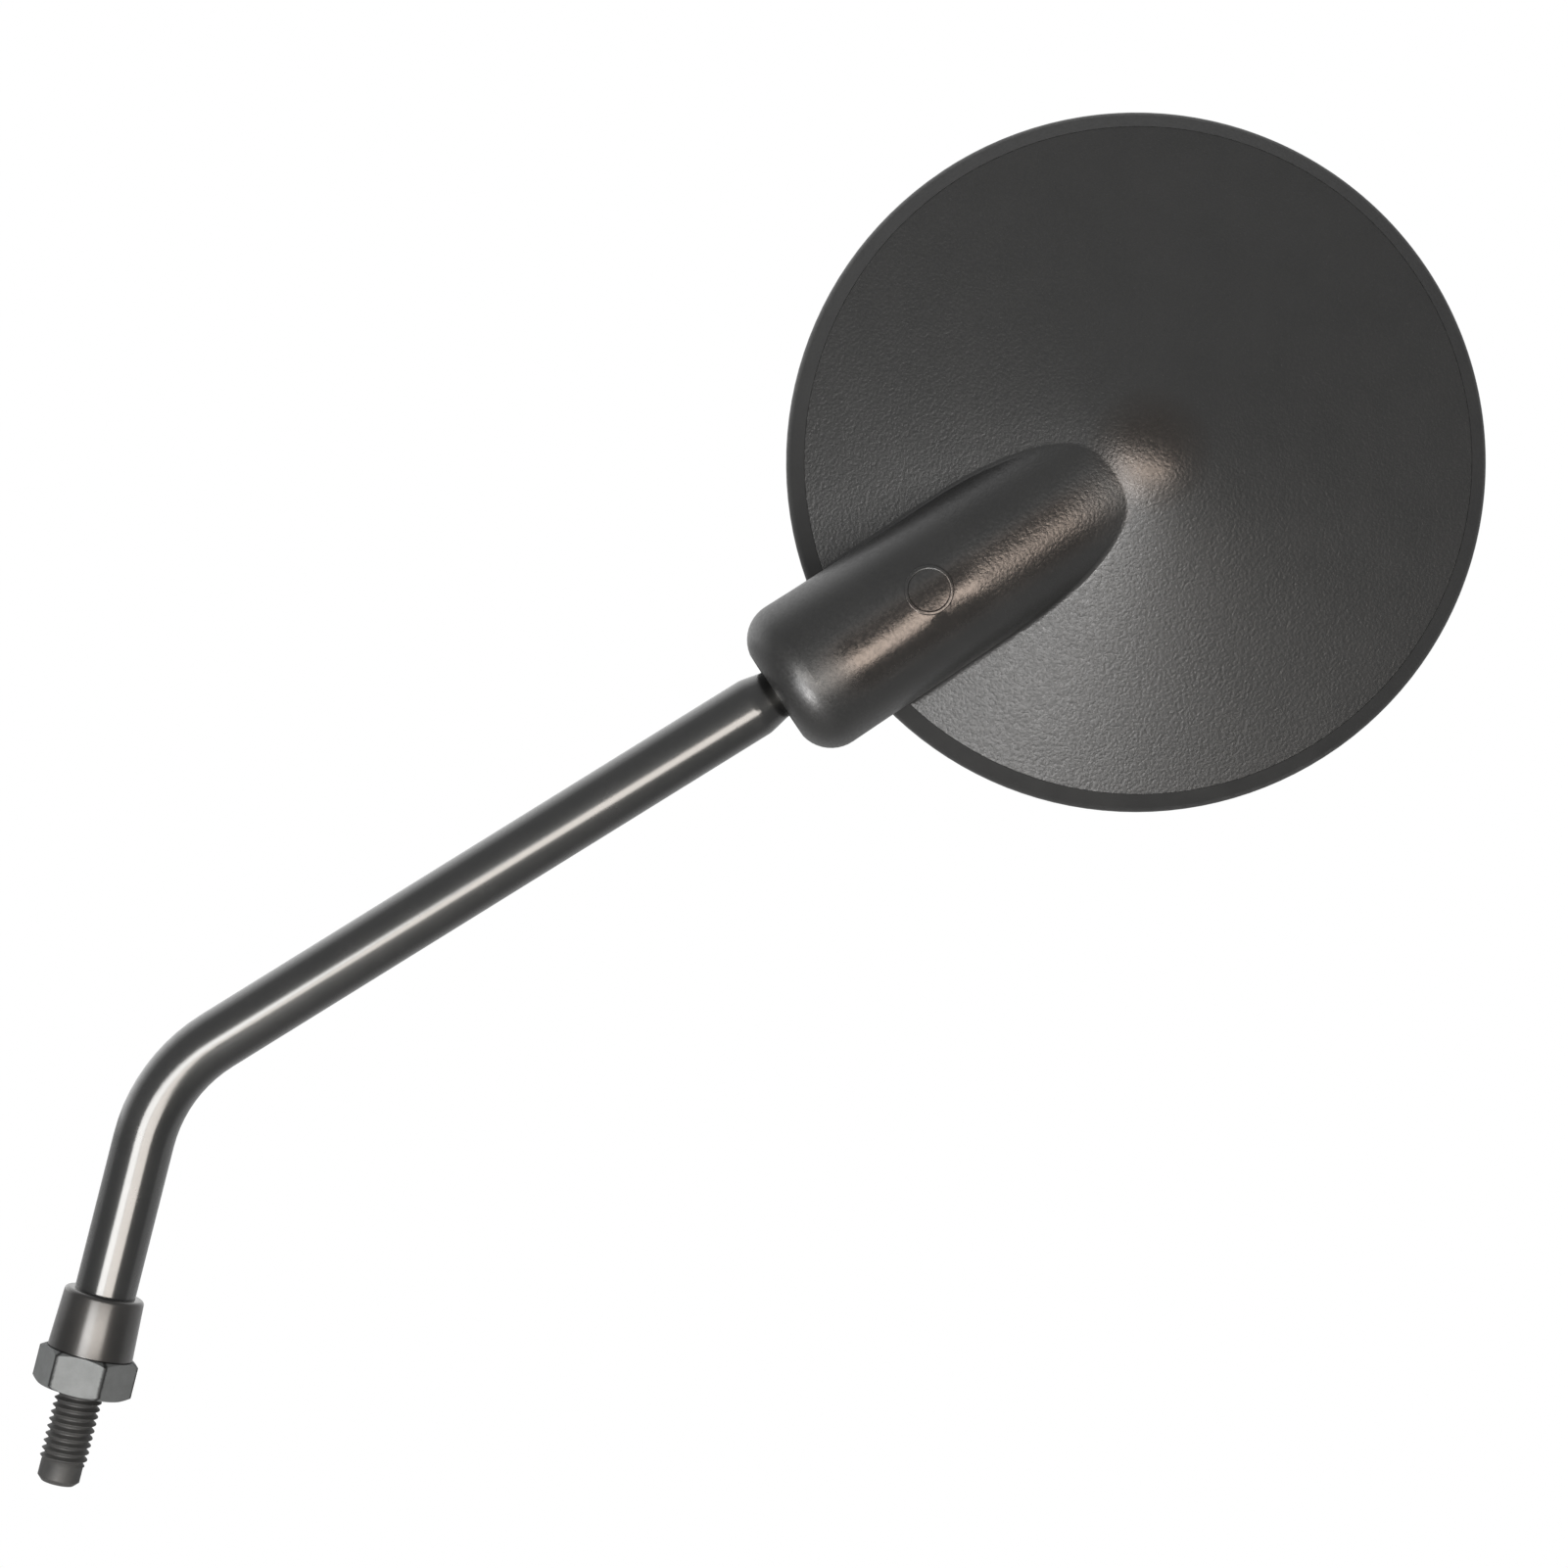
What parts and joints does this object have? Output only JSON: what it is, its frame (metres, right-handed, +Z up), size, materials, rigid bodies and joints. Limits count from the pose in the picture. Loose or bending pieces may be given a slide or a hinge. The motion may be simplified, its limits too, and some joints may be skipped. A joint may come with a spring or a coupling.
{
  "type": "motorcycle mirror",
  "caption": "Round rear-view mirror with a conical back, on a bent stem with a ball joint, a collar, a threaded stud and a lock nut.",
  "frame": {"origin": "on the axis of the stud, at the lower face of the lock nut, where the mirror seats on its holder", "axes": "+Z up along the stud, +X the way the stem leans, +Y the way the glass looks when the stem leans to +X"},
  "size_m": [0.2055, 0.0334, 0.2751],
  "materials": {
    "collar_black": "gloss black, dark oiled thread",
    "zinc_steel": "dull zinc plate",
    "stem_black": "gloss black",
    "shell_plastic": "fine grained black",
    "rim_plastic": "smooth black",
    "silvered_glass": "polished, silvered on the back",
    "foam": "closed cell foam",
    "seat_plastic": "black acetal",
    "cup_plastic": "black acetal",
    "spring_steel": "phosphated"
  },
  "bodies": {
    "stem": {"stem": "stem_black", "threaded_end": "collar_black"},
    "lock_nut": {"lock_nut": "zinc_steel"},
    "mouth_seat": {"mouth_seat": "seat_plastic"},
    "rear_seat": {"rear_seat": "seat_plastic"},
    "head": {"mirror_shell": "shell_plastic", "rim_ring": "rim_plastic", "mirror_glass": "silvered_glass", "glass_cushion": "foam", "pressure_cup": "cup_plastic", "disc_springs": "spring_steel", "retainer_bracket": "zinc_steel", "retainer_screws": "zinc_steel"}
  },
  "joints": [
    {"name": "head_swing", "type": "hinge", "parent": "stem", "child": "mouth_seat", "pos_m": [0.09336, 0, 0.15168], "axis": [0, 1, 0], "range_deg": [-10, 10]},
    {"name": "head_nod", "type": "hinge", "parent": "mouth_seat", "child": "rear_seat", "pos_m": [0.09336, 0, 0.15168], "axis": [0.7361, 0, -0.6769], "range_deg": [-10, 10]},
    {"name": "head_roll", "type": "hinge", "parent": "rear_seat", "child": "head", "pos_m": [0.09336, 0, 0.15168], "axis": [0.6769, 0, 0.7361], "continuous": true},
    {"name": "nut_travel", "type": "slide", "parent": "stem", "child": "lock_nut", "axis": [0, 0, -1], "range_m": [0, 0.009]}
  ]
}
